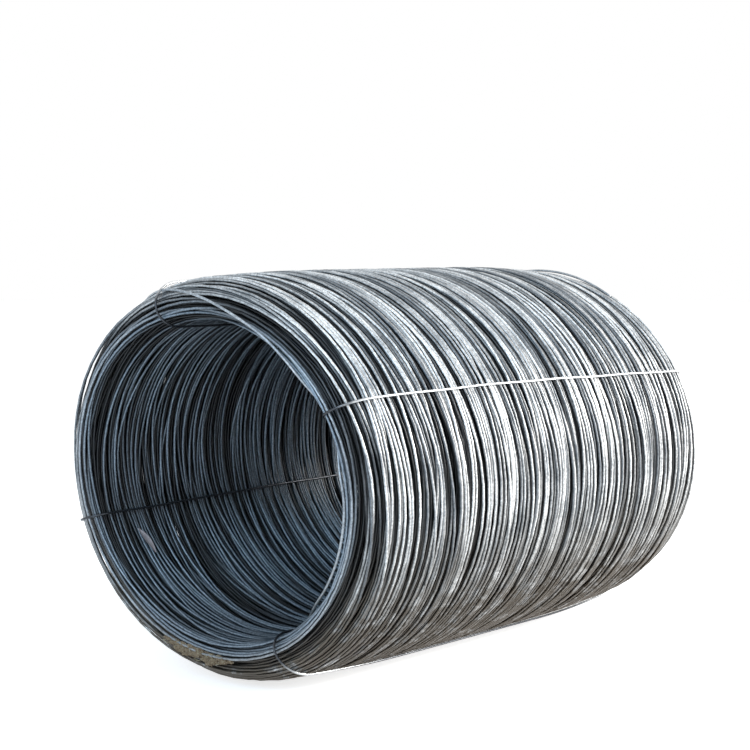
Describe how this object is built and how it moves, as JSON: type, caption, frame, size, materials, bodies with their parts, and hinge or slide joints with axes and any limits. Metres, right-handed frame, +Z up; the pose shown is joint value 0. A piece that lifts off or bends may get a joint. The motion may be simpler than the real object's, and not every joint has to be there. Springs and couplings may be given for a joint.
{
  "type": "coil of wire rod",
  "caption": "Loose-wound coil of hot-rolled steel wire rod lying on its side, with an open bore and tie wires through the bore and over both ends.",
  "frame": {"origin": "on the floor under the middle of the coil", "axes": "+X along the coil from its open near end to its far end, -Y towards the side seen in the picture, +Z up"},
  "size_m": [1.8623, 1.2499, 1.25],
  "materials": {
    "rod_steel": "hot-rolled steel with dark blue-grey mill scale",
    "tie_steel": "plain drawn steel wire with light scale"
  },
  "bodies": {
    "root": {"rod_coil": "rod_steel", "tie_bottom": "tie_steel", "tie_near_side": "tie_steel", "tie_top": "tie_steel", "tie_far_side": "tie_steel"}
  },
  "joints": []
}
